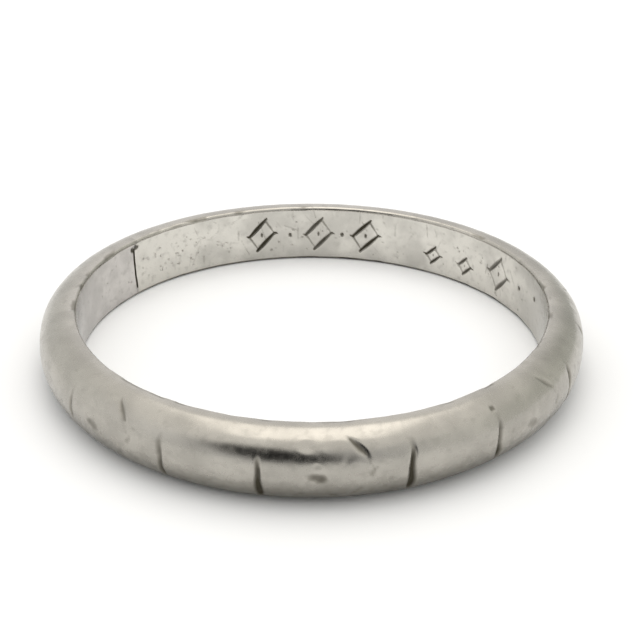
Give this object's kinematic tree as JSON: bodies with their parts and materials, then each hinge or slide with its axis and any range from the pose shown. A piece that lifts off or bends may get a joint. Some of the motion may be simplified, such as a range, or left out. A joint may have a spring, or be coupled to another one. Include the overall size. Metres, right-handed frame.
{
  "type": "wedding band",
  "caption": "Worn half-round white metal wedding band with engraved flowers between cross bars outside, ornament inside the bore and a soldered sizing piece.",
  "frame": {"origin": "centre of the finger bore, halfway across the band's width", "axes": "+Z along the ring's axis; -Y towards the engraved flower that faces the front, the rear solder joint at 146.3 degrees from +X towards +Y"},
  "size_m": [0.019, 0.019, 0.0024],
  "materials": {
    "band_metal": "satin worn white gold, dark in the cuts",
    "sizing_metal": "satin white gold, plain",
    "solder": "tarnished white gold solder"
  },
  "bodies": {
    "root": {"engraved_band": "band_metal", "sizing_piece": "sizing_metal", "rear_solder_joint": "solder", "side_solder_joint": "solder"}
  },
  "joints": []
}
